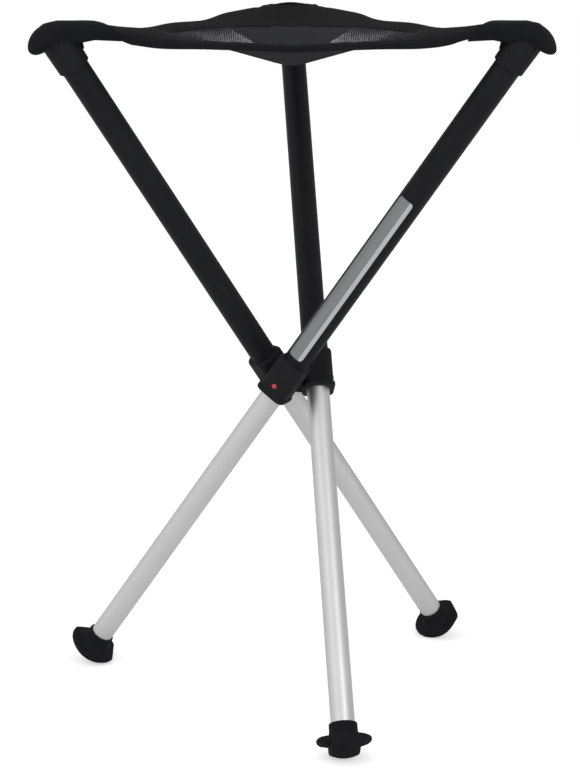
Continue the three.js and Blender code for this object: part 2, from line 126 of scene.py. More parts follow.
world = bpy.data.worlds.new("white_room")
bpy.context.scene.world = world
world.use_nodes = True
tree = world.node_tree
tree.nodes.clear()
rays = add(tree, "ShaderNodeLightPath")
seen = add(tree, "ShaderNodeMath", {
    0: rays.outputs["Is Camera Ray"], 1: rays.outputs["Is Transmission Ray"]},
    operation="ADD", use_clamp=True)
way = add(tree, "ShaderNodeTexCoord")
split = add(tree, "ShaderNodeSeparateXYZ", {"Vector": way.outputs["Generated"]})
sides = add(tree, "ShaderNodeMapRange", {
    "Value": split.outputs["X"], "From Min": room_sides[0], "From Max": room_sides[1],
    "To Min": room_left, "To Max": room_right})
depth = add(tree, "ShaderNodeMapRange", {
    "Value": split.outputs["Y"], "From Min": room_depth[0], "From Max": room_depth[1],
    "To Min": room_front, "To Max": room_back})
room = add(tree, "ShaderNodeMath", {0: sides.outputs[0], 1: depth.outputs[0]},
           operation="MULTIPLY")
level = add(tree, "ShaderNodeMix", {"Factor": seen.outputs[0], "A": room.outputs[0], "B": 1.0},
            data_type="FLOAT")
backdrop = add(tree, "ShaderNodeBackground", {
    "Color": (1, 1, 1, 1), "Strength": level.outputs["Result"]})
add(tree, "ShaderNodeOutputWorld", {"Surface": backdrop.outputs[0]})

for name, place, power in (("key_lamp", (1.3, -2.3, 1.7), key_power),
                           ("fill_lamp", (-1.6, -0.9, 2.0), fill_power)):
    light = bpy.data.lights.new(name, "AREA")
    light.energy = power
    light.size = lamp_size
    lamp = bpy.data.objects.new(name, light)
    lamp.location = place
    lamp.rotation_euler = (lamp_aim - lamp.location).to_track_quat("-Z", "Y").to_euler()
    bpy.context.collection.objects.link(lamp)

# Hub: two black moulded shells, clamped by one screw and nut, that hold the three stubs.
# Each is a rounded triangle, with a fine parting line where they meet.
mm = 0.001
hub_inradius = 9.65 * mm
hub_half_height = 11.0 * mm
hub_corner = 4.0 * mm
hub_edge = 0.8 * mm
socket_radius = 4.8 * mm
socket_step_radius = 6.3 * mm
socket_depth = 5.1 * mm
socket_step = 2.1 * mm
screw_way = 1.8 * mm

joint = {j["name"]: j for j in frame["joints"]}


def leg_matrix(n):
    """The leg's own frame: Z up the leg to its head, X outwards in its plane, Y to the hub."""
    fold, extend = joint[f"leg_{n}_fold"], joint[f"leg_{n}_extend"]
    across = -Vector(fold["axis"])
    along = Vector(extend["axis"])
    outwards = across.cross(along)
    turn = Matrix((outwards, across, along)).transposed().to_4x4()
    return Matrix.Translation(Vector(fold["pos_m"])) @ turn


legs = {n: leg_matrix(n) for n in (1, 2, 3)}


def only(obj):
    bpy.ops.object.select_all(action="DESELECT")
    obj.select_set(True)
    bpy.context.view_layer.objects.active = obj


def pick(obj, kind, test):
    """Selects the faces or edges whose middle passes the test, and leaves edit mode on."""
    only(obj)
    bpy.ops.object.mode_set(mode="EDIT")
    bpy.ops.mesh.select_mode(type={"faces": "FACE", "edges": "EDGE"}[kind])
    bpy.ops.mesh.select_all(action="DESELECT")
    mesh = bmesh.from_edit_mesh(obj.data)
    for part in getattr(mesh, kind):
        if kind == "faces":
            part.select_set(test(part.calc_center_median(), part.normal))
        else:
            a, b = part.verts
            part.select_set(test((a.co + b.co) / 2, b.co - a.co))
    bmesh.update_edit_mesh(obj.data)


def carve(obj, tool, how="DIFFERENCE"):
    only(obj)
    cut = obj.modifiers.new("cut", "BOOLEAN")
    cut.operation = how
    cut.solver = "EXACT"
    cut.object = tool
    bpy.ops.object.modifier_apply(modifier=cut.name)
    bpy.data.objects.remove(tool)


def smooth(obj, degrees=35):
    only(obj)
    bpy.ops.object.shade_smooth_by_angle(angle=math.radians(degrees))


def faces_out(obj, merge=0.0):
    """Turns every face outwards, after corners closer than the merge are joined."""
    only(obj)
    bpy.ops.object.mode_set(mode="EDIT")
    bpy.ops.mesh.select_all(action="SELECT")
    if merge:
        bpy.ops.mesh.remove_doubles(threshold=merge)
    bpy.ops.mesh.normals_make_consistent(inside=False)
    bpy.ops.object.mode_set(mode="OBJECT")
    return obj


def turned(rings, sides, solid=True):
    """A turned form about Z: a circle that is extruded and resized from ring to ring."""
    radius, height = rings[0]
    bpy.ops.object.select_all(action="DESELECT")
    bpy.ops.mesh.primitive_circle_add(vertices=sides, radius=radius, location=(0, 0, height),
                                      fill_type="NGON" if solid else "NOTHING")
    obj = bpy.context.object
    bpy.ops.object.transform_apply(location=True, rotation=True, scale=True)
    bpy.ops.object.mode_set(mode="EDIT")
    bpy.ops.mesh.select_all(action="SELECT")
    for (r0, z0), (r1, z1) in zip(rings, rings[1:]):
        bpy.ops.mesh.extrude_region_move(TRANSFORM_OT_translate={"value": (0, 0, z1 - z0)})
        bpy.ops.transform.resize(value=(r1 / r0, r1 / r0, 1), center_override=(0, 0, 0))
    bpy.ops.object.mode_set(mode="OBJECT")
    return faces_out(obj, 1e-6)


def placed(obj, matrix):
    obj.data.transform(matrix)
    obj.data.update()
    return obj


def bevelled(obj, width, segments=3, degrees=30):
    only(obj)
    edge = obj.modifiers.new("edge", "BEVEL")
    edge.width = width
    edge.segments = segments
    edge.limit_method = "ANGLE"
    edge.angle_limit = math.radians(degrees)
    bpy.ops.object.modifier_apply(modifier=edge.name)
    return obj


def along_y(obj, height):
    """Turns a form made along Z so that it lies along Y at a height on the leg."""
    return placed(obj, Matrix.Translation((0, 0, height)) @ Matrix.Rotation(-math.pi / 2, 4, "X"))


def drill(obj, radius, start, end, sides, across_at=None):
    """A round hole along Z, or along Y at the height that across_at gives."""
    bit = turned([(radius, start), (radius, end)], sides)
    carve(obj, bit if across_at is None else along_y(bit, across_at))


def dress(tree, shader, cloud, shades, fine=None, gloss=None, relief=None):
    """Mixes two shades by a cloud, and drives roughness and relief by a finer pattern."""
    tint = add(tree, "ShaderNodeMix", {0: cloud, 6: linear(shades[0]), 7: linear(shades[1])},
               data_type="RGBA")
    tree.links.new(tint.outputs[2], shader.inputs["Base Color"])
    if gloss:
        spread = add(tree, "ShaderNodeMapRange", {
            "Value": fine, "To Min": gloss[0], "To Max": gloss[1]})
        tree.links.new(spread.outputs[0], shader.inputs["Roughness"])
    if relief:
        bump = add(tree, "ShaderNodeBump", {
            "Height": fine, "Strength": relief[0], "Distance": relief[1]})
        tree.links.new(bump.outputs[0], shader.inputs["Normal"])


# Moulded nylon: dull black with the even grain of a spark-eroded mould. The grain is drawn
# at 0.6 mm, coarser than the real one, so that it shows.
nylon, tree, shader = new_material("moulded_black_nylon", {"Specular IOR Level": 0.1})
place = add(tree, "ShaderNodeTexCoord")
grain = add(tree, "ShaderNodeTexNoise", {
    "Vector": place.outputs["Object"], "Scale": 1 / (0.6 * mm), "Detail": 3.0, "Roughness": 0.6})
flow = add(tree, "ShaderNodeTexNoise", {
    "Vector": place.outputs["Object"], "Scale": 1 / (22 * mm), "Detail": 2.0})
dress(tree, shader, flow.outputs["Fac"], ("#1b1c1d", "#222324"), grain.outputs["Fac"],
      gloss=(0.48, 0.62), relief=(0.25, 0.05 * mm))

hub_place = Vector(np.mean([joint[f"leg_{n}_fold"]["pos_m"] for n in (1, 2, 3)], axis=0))
socket_floor = hub_inradius - socket_depth
for name, low, high in (("hub_shell_upper", 0.0, hub_half_height),
                        ("hub_shell_lower", -hub_half_height, 0.0)):
    bpy.ops.object.select_all(action="DESELECT")
    bpy.ops.mesh.primitive_cylinder_add(vertices=3, radius=2 * hub_inradius, depth=high - low,
                                        location=(0, 0, (low + high) / 2))
    shell = bpy.context.object
    bpy.ops.object.transform_apply(location=True, rotation=True, scale=True)
    # The cylinder's first corner lies on +Y: a side then faces -Y.
    pick(shell, "edges", lambda middle, way: abs(way.z) > 0.5 * hub_half_height)
    bpy.ops.mesh.bevel(offset=hub_corner, segments=8)
    bpy.ops.object.mode_set(mode="OBJECT")
    bevelled(shell, hub_edge, 3, 60)
    for turn in range(3):
        socket = turned([(socket_radius, hub_inradius + 2 * mm),
                         (socket_radius, socket_floor + socket_step),
                         (socket_step_radius, socket_floor + socket_step),
                         (socket_step_radius, socket_floor)], 40)
        spin = Matrix.Rotation(turn * 2 * math.pi / 3, 4, "Z")
        carve(shell, placed(socket, spin @ Matrix.Rotation(math.pi / 2, 4, "X")))
    drill(shell, screw_way, -hub_half_height * 1.2, hub_half_height * 1.2, 24)
    first = legs[1].to_3x3() @ Vector((0, -1, 0))
    heading = math.atan2(first.y, first.x) + math.pi / 2
    placed(shell, Matrix.Translation(hub_place) @ Matrix.Rotation(heading, 4, "Z"))
    smooth(shell)
    shell.name = name
    shell.data.materials.append(nylon)
    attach(shell, "hub")
    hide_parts(name.replace("shell_", ""))

# Upper tubes: drawn aluminium, 25 mm across, anodised black. The dye leaves a deep satin
# black, and the die leaves faint lines along the tube.
tube_radius = 12.5 * mm
tube_bore = 11.3 * mm
tube_low = -10.3 * mm
tube_high = 400 * mm
tube_edge = 0.25 * mm
lock_drop = 0.5 * mm
lock_hole = 3.45 * mm
lock_hole_start = -16 * mm
pin_hole = 1.8 * mm
pin_hole_reach = 20 * mm
pin_height = 386 * mm


def keep_places(obj):
    """Keeps each corner's place in the leg frame, for patterns that run along the leg."""
    own = np.empty(len(obj.data.vertices) * 3, "f")
    obj.data.vertices.foreach_get("co", own)
    obj.data.attributes.new("in_leg", "FLOAT_VECTOR", "POINT").data.foreach_set("vector", own)


def on_legs(model, name, body, node, lifts=None):
    """Three copies of a piece that was made in the leg's own frame, each with its own mesh."""
    made = []
    keep_places(model)
    for n in (1, 2, 3):
        piece = model.copy()
        piece.data = model.data.copy()
        piece.name = f"{name}_{n}"
        bpy.context.collection.objects.link(piece)
        placed(piece, legs[n])
        if lifts:
            lifts(piece, n)
        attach(piece, f"{body}_{n}")
        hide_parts(f"{node}_{n}")
        made.append(piece)
    bpy.data.objects.remove(model)
    return made


def drawn_tube(bore, radius, low, high):
    """A tube along Z, closed between bore and outside, with its outer edges broken."""
    return turned([(bore, low), (radius - tube_edge, low), (radius, low + tube_edge),
                   (radius, high - tube_edge), (radius - tube_edge, high), (bore, high),
                   (bore, low)], 72, solid=False)


black_tube, tree, shader = new_material("black_anodised_aluminium", {"Specular IOR Level": 0.09})
spot = add(tree, "ShaderNodeAttribute", attribute_name="in_leg")
drawn = add(tree, "ShaderNodeMapping", {
    "Vector": spot.outputs["Vector"], "Scale": (1 / (0.5 * mm), 1 / (0.5 * mm), 1 / (60 * mm))})
lines = add(tree, "ShaderNodeTexNoise", {"Vector": drawn.outputs[0], "Scale": 1.0, "Detail": 2.0})
cloud = add(tree, "ShaderNodeTexNoise", {
    "Vector": spot.outputs["Vector"], "Scale": 1 / (30 * mm), "Detail": 3.0})
dress(tree, shader, cloud.outputs["Fac"], ("#1a1b1d", "#212224"), lines.outputs["Fac"],
      gloss=(0.34, 0.50), relief=(0.12, 0.05 * mm))

tube = drawn_tube(tube_bore, tube_radius, tube_low, tube_high)
drill(tube, lock_hole, lock_hole_start, 0, 32, -lock_drop)
drill(tube, pin_hole, -pin_hole_reach, pin_hole_reach, 24, pin_height)
smooth(tube)
tube.data.materials.append(black_tube)
on_legs(tube, "upper_tube_drawn", "upper_leg", "upper_tube")

# Sleeves: black nylon mouldings on the lower mouths of the upper tubes. Square with soft
# corners, a lip at the lower end and a stub on the hub side.
sleeve_half = 14.75 * mm
sleeve_corner = 8 * mm
sleeve_low = -13.0 * mm
sleeve_high = 27 * mm
sleeve_shoulder = 3.2 * mm
lip_proud = 1.3 * mm
lip_height = 4.6 * mm
lip_edge = 1.2 * mm
stub_radius = 4.5 * mm
stub_step_radius = 6.0 * mm
stub_length = 4.8 * mm
stub_step = 1.5 * mm
stub_root = 13.1 * mm
sleeve_seat = 12.8 * mm
sleeve_seat_floor = sleeve_low + 2.4 * mm
sleeve_seat_top = 20 * mm
sleeve_mouth = 11.3 * mm
button_way = 2.8 * mm
button_way_start = -20 * mm
button_way_end = -12 * mm
button_stop = 3.4 * mm
button_stop_at = -13.7 * mm


def block(half_x, half_y, low, high, corner, shift_y=0.0):
    """A block whose four upright corners are rounded."""
    bpy.ops.object.select_all(action="DESELECT")
    bpy.ops.mesh.primitive_cube_add(size=2, location=(0, shift_y, (low + high) / 2),
                                    scale=(half_x, half_y, (high - low) / 2))
    obj = bpy.context.object
    bpy.ops.object.transform_apply(location=True, rotation=True, scale=True)
    pick(obj, "edges", lambda middle, way: abs(way.z) > 0.5 * (high - low))
    bpy.ops.mesh.bevel(offset=corner, segments=10)
    bpy.ops.object.mode_set(mode="OBJECT")
    return obj


sleeve = block(sleeve_half, sleeve_half, sleeve_low, sleeve_high, sleeve_corner)
pick(sleeve, "faces", lambda middle, normal: normal.z > 0.9)
bpy.ops.mesh.bevel(offset=sleeve_shoulder, segments=5, affect="EDGES")
bpy.ops.object.mode_set(mode="OBJECT")
lip = block(sleeve_half + lip_proud, sleeve_half + lip_proud / 2, sleeve_low,
            sleeve_low + lip_height, sleeve_corner, -lip_proud / 2)
bevelled(lip, lip_edge, 3, 60)
carve(sleeve, lip, "UNION")
stub_tip = sleeve_half + stub_length
stub = turned([(stub_radius, stub_root), (stub_radius, stub_tip - stub_step),
               (stub_step_radius, stub_tip - stub_step), (stub_step_radius, stub_tip)], 48)
carve(sleeve, along_y(stub, 0), "UNION")
drill(sleeve, sleeve_seat, sleeve_seat_floor, sleeve_seat_top, 72)
drill(sleeve, sleeve_mouth, sleeve_low - 2 * mm, 10 * mm, 72)
drill(sleeve, button_way, button_way_start, button_way_end, 32, -lock_drop)
drill(sleeve, button_stop, button_stop_at, button_way_end, 32, -lock_drop)
bevelled(sleeve, 0.3 * mm, 2, 40)
smooth(sleeve)
sleeve.data.materials.append(nylon)
on_legs(sleeve, "sleeve_moulded", "upper_leg", "sleeve")

# Lower tubes: drawn aluminium, 22 mm across, etched and anodised clear. The etch gives a
# soft satin that spreads the light across the tube.
inner_radius = 11.0 * mm
inner_bore = 9.8 * mm
inner_low = -354 * mm
inner_high = 45 * mm
inner_lock_hole = 3.3 * mm

silver, tree, shader = new_material("satin_anodised_aluminium", {"Metallic": 1.0})
spot = add(tree, "ShaderNodeAttribute", attribute_name="in_leg")
drawn = add(tree, "ShaderNodeMapping", {
    "Vector": spot.outputs["Vector"], "Scale": (1 / (0.4 * mm), 1 / (0.4 * mm), 1 / (80 * mm))})
lines = add(tree, "ShaderNodeTexNoise", {"Vector": drawn.outputs[0], "Scale": 1.0, "Detail": 2.0})
cloud = add(tree, "ShaderNodeTexNoise", {
    "Vector": spot.outputs["Vector"], "Scale": 1 / (35 * mm), "Detail": 2.0})
dress(tree, shader, cloud.outputs["Fac"], ("#dfdfdf", "#e6e6e6"), lines.outputs["Fac"],
      gloss=(0.42, 0.50), relief=(0.08, 0.02 * mm))

tube = drawn_tube(inner_bore, inner_radius, inner_low, inner_high)
drill(tube, inner_lock_hole, lock_hole_start, 0, 32, -lock_drop)
smooth(tube)
tube.data.materials.append(silver)
on_legs(tube, "lower_tube_drawn", "lower_leg", "lower_tube")

# Lock buttons: red acetal with a slightly dished face, standing just proud of the sleeve,
# and a flange behind that stops in it.
button_radius = 2.5 * mm
button_front = -15.95 * mm
button_back = -12.8 * mm
button_dish = 0.15 * mm
button_flange = 3.1 * mm
button_flange_height = 0.6 * mm

# Acetal: a smooth red with a waxy half gloss, hardly mottled.
acetal, tree, shader = new_material("red_acetal")
place = add(tree, "ShaderNodeTexCoord")
grain = add(tree, "ShaderNodeTexNoise", {
    "Vector": place.outputs["Object"], "Scale": 1 / (0.5 * mm), "Detail": 2.0})
dress(tree, shader, grain.outputs["Fac"], ("#b43e48", "#bc4650"), grain.outputs["Fac"],
      gloss=(0.35, 0.5))

flange_at = button_back - button_flange_height
button = turned([(0.55 * button_radius, button_front + button_dish),
                 (0.72 * button_radius, button_front),
                 (0.9 * button_radius, button_front + button_dish),
                 (button_radius, button_front + 0.6 * mm), (button_radius, flange_at),
                 (button_flange, flange_at), (button_flange, button_back)], 40)
along_y(button, -lock_drop)
smooth(button)
button.data.materials.append(acetal)
on_legs(button, "lock_button_turned", "button", "lock_button")

# Feet: black rubber boots. A neck grips the tube, a wide flange keeps the foot from
# sinking, and a keel-shaped sole rocks on the floor.
foot_mouth = -340 * mm
foot_neck = 13.0 * mm
neck_length = 8 * mm
neck_round = 1.1 * mm
flange_radius = 25.0 * mm
flange_rim = 3.4 * mm
flange_flat = 21.1 * mm
flange_curve = ((0.02, 0.12), (0.07, 0.45), (0.25, 0.81), (0.55, 0.93), (0.85, 0.99))
sole_centre = -341 * mm
sole_radius = 30 * mm
sole_half_width = 13 * mm
sole_steps = 14
keel_depth = 22 * mm
keel_overlap = 1.2 * mm
grip_radius = 11.15 * mm
grip_depth = 14.2 * mm
leg_tilt = math.radians(35.9)
wide = 60 * mm

# Moulded rubber: deep matt black that spreads the light, with a little dust in patches.
rubber, tree, shader = new_material("moulded_black_rubber", {"Specular IOR Level": 0.08})
place = add(tree, "ShaderNodeTexCoord")
grain = add(tree, "ShaderNodeTexNoise", {
    "Vector": place.outputs["Object"], "Scale": 1 / (0.8 * mm), "Detail": 4.0, "Roughness": 0.65})
dust = add(tree, "ShaderNodeTexNoise", {
    "Vector": place.outputs["Object"], "Scale": 1 / (12 * mm), "Detail": 3.0})
dress(tree, shader, dust.outputs["Fac"], ("#161718", "#202122"), grain.outputs["Fac"],
      gloss=(0.62, 0.8), relief=(0.3, 0.08 * mm))


def slab(outline, low, high):
    """A plate whose outline is given in X and Z, between two places along Y."""
    bpy.ops.object.select_all(action="DESELECT")
    bpy.ops.mesh.primitive_circle_add(vertices=len(outline), radius=1, fill_type="NGON")
    obj = bpy.context.object
    for corner, (x, z) in zip(obj.data.vertices, outline):
        corner.co = (x, low, z)
    bpy.ops.object.mode_set(mode="EDIT")
    bpy.ops.mesh.select_all(action="SELECT")
    bpy.ops.mesh.extrude_region_move(TRANSFORM_OT_translate={"value": (0, high - low, 0)})
    bpy.ops.object.mode_set(mode="OBJECT")
    return faces_out(obj)


def rectangle(half, low, high):
    return [(-half, low), (half, low), (half, high), (-half, high)]


rim = sole_centre - math.sqrt(sole_radius ** 2 - flange_radius ** 2)
shoulder = foot_mouth - neck_length
span = math.asin(flange_radius / sole_radius)
sole_turns = [span * (1 - k / sole_steps) for k in range(1, sole_steps)]
dome = [(sole_radius * math.sin(turn), sole_centre - sole_radius * math.cos(turn))
        for turn in sole_turns]
rings = [(foot_neck - neck_round, foot_mouth), (foot_neck - 0.3 * mm, foot_mouth - 0.3 * mm),
         (foot_neck, foot_mouth - neck_round), (foot_neck, shoulder + 1.5 * mm)]
for out, down in flange_curve:
    rings.append((foot_neck + (flange_radius - foot_neck) * out,
                  shoulder - (shoulder - rim - flange_rim) * down))
rings += [(flange_radius - 0.4 * mm, rim + flange_rim),
          (flange_radius, rim + flange_rim - 0.5 * mm),
          (flange_radius, rim + 1.1 * mm), (flange_radius - 1.1 * mm, rim)] + dome
boot = turned(rings, 72)
keel = slab(rectangle(sole_radius, rim - keel_depth, rim + keel_overlap),
            -sole_half_width, sole_half_width)
disc = turned([(sole_radius, rim), (sole_radius, foot_mouth + 5 * mm)], 72)
bevelled(keel, 2 * mm, 3, 60)
carve(disc, keel, "UNION")
carve(boot, disc, "INTERSECT")
for side in (30, 150):
    face = slab(rectangle(40 * mm, -400 * mm, -330 * mm), flange_flat, wide)
    carve(boot, placed(face, Matrix.Rotation(math.radians(side - 90), 4, "Z")))
# What would lie under the floor on the open stool is cut off, so that the sole stands flat.
under = slab(rectangle(wide, -wide, 0), -wide, wide)
pivot_height = joint["leg_1_fold"]["pos_m"][2]
placed(under, Matrix.Rotation(-leg_tilt, 4, "Y") @ Matrix.Translation((0, 0, -pivot_height)))
carve(boot, under)
drill(boot, grip_radius, foot_mouth + 3 * mm, foot_mouth - grip_depth, 72)
bevelled(boot, 0.6 * mm, 3, 40)
smooth(boot, 40)
boot.data.materials.append(rubber)
on_legs(boot, "foot_moulded", "lower_leg", "foot")

# Corner pockets: black polyester canvas sewn as a hood over each seat head, closed round
# the nose and open below, where it ends in a slanting hem.
pocket_cloth = 1.3 * mm
pocket_hem = [(-60, 352), (-36, 374), (-20, 387), (6, 398.3), (13, 401.4), (13, 352)]
pocket_back = -36.0
pocket_full = 6.0
pocket_nose = 27.0
nose_drop = 3.0
crown_power = 1.5
hood_lean = 0.1
stations = (6, -1, -11, -23, -31, -36)
pocket_top = (419.2, 419.2, 414.5, 405.5, 399.7, 395.8)
pocket_middle = (411, 408.4, 402.4, 393.6, 387.6, 383.6)
pocket_base = (401.1, 391, 380, 372, 366, 362)
pocket_half = (17.75, 18.0, 19.4, 23.6, 28.8, 33.0)
hood_rows = 44
hood_sides = 72
nose_row = 25
back_lift = 9
back_lift_run = 30.0
side_slope = 0.7

# Polyester canvas: dull black cloth that hardly shines. Its plain weave is drawn at 0.9 mm,
# coarser than the real one, so that it shows.
canvas, tree, shader = new_material("black_polyester_canvas", {
    "Roughness": 0.82, "Specular IOR Level": 0.05, "Sheen Weight": 0.015, "Sheen Roughness": 0.5})
weave_pitch = 0.9 * mm
thread = add(tree, "ShaderNodeUVMap")
split = add(tree, "ShaderNodeSeparateXYZ", {"Vector": thread.outputs["UV"]})
waves = []
for axis in ("X", "Y"):
    turns = add(tree, "ShaderNodeMath", {
        0: split.outputs[axis], 1: 2 * math.pi / weave_pitch}, operation="MULTIPLY")
    waves.append(add(tree, "ShaderNodeMath", {0: turns.outputs[0]}, operation="SINE"))
weave = add(tree, "ShaderNodeMath", {0: waves[0].outputs[0], 1: waves[1].outputs[0]},
            operation="MULTIPLY")
place = add(tree, "ShaderNodeTexCoord")
worn = add(tree, "ShaderNodeTexNoise", {
    "Vector": place.outputs["Object"], "Scale": 1 / (18 * mm), "Detail": 4.0})
dress(tree, shader, worn.outputs["Fac"], ("#161718", "#1f2021"), weave.outputs[0],
      relief=(0.35, 0.15 * mm))


def hood(shrink):
    """The hood's form in the leg frame, drawn in by shrink mm, with its mouth left open."""
    obj = turned([(1, k) for k in range(hood_rows + 1)], hood_sides, solid=False)
    front = pocket_nose - shrink
    for corner in obj.data.vertices:
        row = round(corner.co.z)
        turn = math.atan2(corner.co.y, corner.co.x)
        if row <= nose_row:
            x = pocket_back + (pocket_full - pocket_back) * row / nose_row
            share = 1.0
        else:
            swing = math.pi / 2 * (row - nose_row) / (hood_rows - nose_row)
            x = pocket_full + (front - pocket_full) * math.sin(swing)
            share = math.cos(swing)
        top, middle, base, half = (
            float(np.interp(-min(x, pocket_full), [-s for s in stations], values))
            for values in (pocket_top, pocket_middle, pocket_base, pocket_half))
        drop = nose_drop * (max(0.0, x - pocket_full) / (pocket_nose - pocket_full)) ** 2
        top, middle, base = top - drop, middle - drop, base - drop
        if math.sin(turn) > 0:
            rise = (top - middle - shrink) * share ** crown_power
        else:
            rise = (middle - base - shrink) * share
        y = (half - shrink) * share * math.cos(turn) - hood_lean * min(x, 0.0)
        z = middle + rise * math.sin(turn)
        corner.co = (x * mm, y * mm, z * mm)
    return faces_out(obj, 1e-5)


def thickened(obj, thickness, offset=-1.0):
    only(obj)
    wall = obj.modifiers.new("wall", "SOLIDIFY")
    wall.thickness = thickness
    wall.offset = offset
    wall.use_even_offset = True
    bpy.ops.object.modifier_apply(modifier=wall.name)
    return obj


def threads_by_place(obj):
    """A UV map in metres that lies over the piece by its place in the leg frame."""
    layer = obj.data.uv_layers.new(name="cloth")
    for face in obj.data.polygons:
        slope = side_slope if face.normal.y > 0 else -side_slope
        for loop in face.loop_indices:
            x, y, z = obj.data.vertices[obj.data.loops[loop].vertex_index].co
            layer.data[loop].uv = (x, y + z * slope)


def raise_back(piece, n):
    """The back corner of the seat stands a little higher than the two in front."""
    if n != 3:
        return
    to_leg = legs[3].inverted()
    for corner in piece.data.vertices:
        x = (to_leg @ corner.co).x / mm
        share = min(1.0, max(0.0, (pocket_full - x) / back_lift_run))
        corner.co.z += back_lift * mm * share * share * (3 - 2 * share)


pocket = thickened(hood(0), pocket_cloth)
carve(pocket, slab([(x * mm, z * mm) for x, z in pocket_hem], -wide, wide))
bevelled(pocket, 0.35 * mm, 2, 50)
smooth(pocket, 50)
threads_by_place(pocket)
pocket.data.materials.append(canvas)
hoods = on_legs(pocket, "corner_hood", "upper_leg", "corner_pocket", raise_back)
for n, piece in enumerate(hoods, 1):
    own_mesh(piece)

# Seat heads: black nylon mouldings pressed on the upper ends of the tubes. A collar grips
# the tube, a crown fills the hood, and a web on the inner side stiffens the neck.
collar_radius = 14.7 * mm
collar_top_radius = 15.3 * mm
collar_bore = 12.8 * mm
collar_low = 373 * mm
collar_high = 404 * mm
collar_edge = 0.5 * mm
tube_stop = 400.3 * mm
crown_shrink = 1.7
crown_rise = 1.2
web_outline = [(-14, 381), (-17, 388), (-27, 397), (-14, 405)]
web_half = 8 * mm

head = hood(crown_shrink)
pick(head, "edges", lambda middle, way: (
    abs(middle.x - pocket_back * mm) < 0.5 * mm and abs(way.x) < 0.01 * mm))
bpy.ops.mesh.edge_face_add()
bpy.ops.object.mode_set(mode="OBJECT")
carve(head, slab([(x * mm, (z + crown_rise) * mm) for x, z in pocket_hem], -wide, wide))
collar = turned([(collar_bore, collar_low), (collar_radius - collar_edge, collar_low),
                 (collar_radius, collar_low + collar_edge), (collar_top_radius, collar_high),
                 (collar_bore, collar_high), (collar_bore, collar_low)], 72, solid=False)
web = slab([(x * mm, z * mm) for x, z in web_outline], -web_half, web_half)
bevelled(web, 1.0 * mm, 3, 25)
carve(head, collar, "UNION")
carve(head, web, "UNION")
drill(head, collar_bore, 360 * mm, tube_stop, 72)
bevelled(head, 0.4 * mm, 2, 50)
smooth(head, 40)
head.data.materials.append(nylon)
on_legs(head, "seat_head_moulded", "upper_leg", "seat_head")

# Seat border: the same canvas, folded double as a 32 mm hem round the net. Each third of it
# hangs from one corner, and its outer fold rolls down where nothing pulls it tight. Lengths
# are in mm here, and the tables give heights over the floor that follow the photo.
corner_reach = 209.04
corner_cut = 25.0
edge_straight = 126.17
edge_hollow = 22.17
edge_half = 168.53
hem_width = 32.0
net_cut = 138.0
net_cut_half = 14.87
net_edge_half = 112.07
hem_cloth = 1.7
hem_columns = 84
hem_rows = 12
hem_crowding = 1.4
hem_run = 0.36
corner_share = 0.14
middle_front = ((0, 602), (138, 638), (165, 640), (185, 641.5), (209, 646), (230, 650))
middle_back = ((0, 602), (138, 634), (165, 641.5), (209, 655.5), (230, 660))
edge_near = ((0, 625.5), (0.25, 627.5), (0.5, 628.9), (0.6, 628.9), (0.7, 629.4), (0.8, 632),
             (0.9, 635.7), (1, 636.5))
edge_far = ((0, 642.8), (0.3, 642.2), (0.4, 640.2), (0.5, 638.7), (0.6, 638.7), (0.7, 639.2),
            (0.8, 640), (1, 641))
edge_back = ((0, 642.8), (0.1, 644.8), (0.2, 648), (0.3, 650.7), (0.5, 652.8), (0.7, 654.6),
             (0.85, 654.6), (1, 653.6))
level_half = 0.12
bowl_power = 1.78
trough_power = 1.7
trough_front = (0.4, 0.5)
trough_back = (0.0, 0.7)
roll_near = 6.0
roll_far = 3.0
roll_depth = 10
roll_ease = 6
crease_height = 0.55
crease_rate = 0.72
crease_reach = 30
cos60, sin60 = 0.5, math.sqrt(3) / 2
corner_azimuth = {n: math.radians(90 + 120 * n) for n in (1, 2, 3)}


def edge_out(along):
    """How far out the seat's hollow edge lies at a place along it."""
    return edge_straight - edge_hollow * (1 - (along / edge_half) ** 2)


def edge_line(share, inset=0.0, half=edge_half):
    """A place on the seat's edge in its corner's own plan: 0 is the edge's middle, 1 its end."""
    along = half * share
    out = edge_out(along) - inset
    return out * cos60 + along * sin60, out * sin60 - along * cos60


def along_table(x, table, spread):
    """The table's value at x, with its corners rounded over the spread."""
    places, values = zip(*table)
    steps = np.linspace(-spread, spread, 9)
    return np.mean([np.interp(x + k, places, values) for k in steps], axis=0)


def seat_height(u, v, n):
    """Height of the taut cloth over the floor: u runs to corner n, v square to it, in mm."""
    u, side = np.asarray(u, float), np.asarray(v, float)
    v = np.abs(side)
    # Halving finds s: the place lies on the line from the middle at s to the edge at s.
    low, high = np.zeros_like(u), np.full_like(u, 1.25)
    for _ in range(26):
        s = (low + high) / 2
        eu, ev = edge_line(s)
        over = (eu - corner_reach * s) * v - ev * (u - corner_reach * s) < 0
        low, high = np.where(over, s, low), np.where(over, high, s)
    s = (low + high) / 2
    across = np.clip(v / np.maximum(edge_line(s)[1], 1e-6), 0, 1.2)
    across = ((np.sqrt(across ** 2 + level_half ** 2) - level_half)
              / (math.sqrt(1 + level_half ** 2) - level_half))
    middle = along_table(corner_reach * s, middle_back if n == 3 else middle_front, 14)
    front = (side > 0) if n == 1 else (side < 0) if n == 2 else np.zeros_like(side, bool)
    edge = np.where(front, along_table(s, edge_near, 0.06),
                    along_table(s, edge_back if n == 3 else edge_far, 0.06))
    start, run = trough_back if n == 3 else trough_front
    trough = np.clip((s - start) / run, 0, 1)
    bowl = 1 - np.clip(1 - across, 0, 1) ** bowl_power
    return middle + (edge - middle) * ((1 - trough) * bowl + trough * across ** trough_power)


